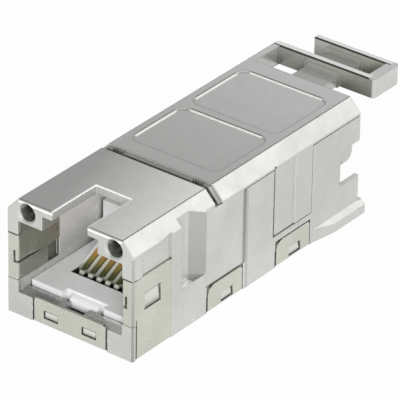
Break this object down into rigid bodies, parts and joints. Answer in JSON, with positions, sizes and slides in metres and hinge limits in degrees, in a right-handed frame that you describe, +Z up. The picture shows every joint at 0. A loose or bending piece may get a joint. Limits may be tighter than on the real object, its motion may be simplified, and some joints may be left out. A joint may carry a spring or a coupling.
{
  "type": "ethernet socket",
  "caption": "Shielded network socket module with a die-cast body, a folded spring shield, a latched rear wiring cover and a cable bracket behind it.",
  "frame": {"origin": "centre of the bounding box's bottom: middle of the overall length and width, on the flat underside", "axes": "+X across the socket to the right seen from the plug side with the latch slot on top, +Y from the mating face back to the cable bracket, +Z up from the flat underside to the latch side"},
  "size_m": [0.0154, 0.0426, 0.0122],
  "materials": {
    "cast_zinc": "satin plated casting",
    "spring_sheet": "satin plated sheet",
    "insert_plastic": "matte",
    "gold_contact": "gold plated, smooth",
    "board": "coated circuit board",
    "block_plastic": "matte",
    "tinned_blade": "tin plated"
  },
  "bodies": {
    "root": {"housing": "cast_zinc", "rear_cover": "cast_zinc", "shield_plate": "spring_sheet", "contact_carrier": "insert_plastic", "contact_1": "gold_contact", "contact_2": "gold_contact", "contact_3": "gold_contact", "contact_4": "gold_contact", "contact_5": "gold_contact", "contact_6": "gold_contact", "contact_7": "gold_contact", "contact_8": "gold_contact", "circuit_board": "board", "idc_block": "block_plastic", "idc_blade_1": "tinned_blade", "idc_blade_2": "tinned_blade", "idc_blade_3": "tinned_blade", "idc_blade_4": "tinned_blade", "idc_blade_5": "tinned_blade", "idc_blade_6": "tinned_blade", "idc_blade_7": "tinned_blade", "idc_blade_8": "tinned_blade", "wire_manager": "block_plastic"}
  },
  "joints": []
}
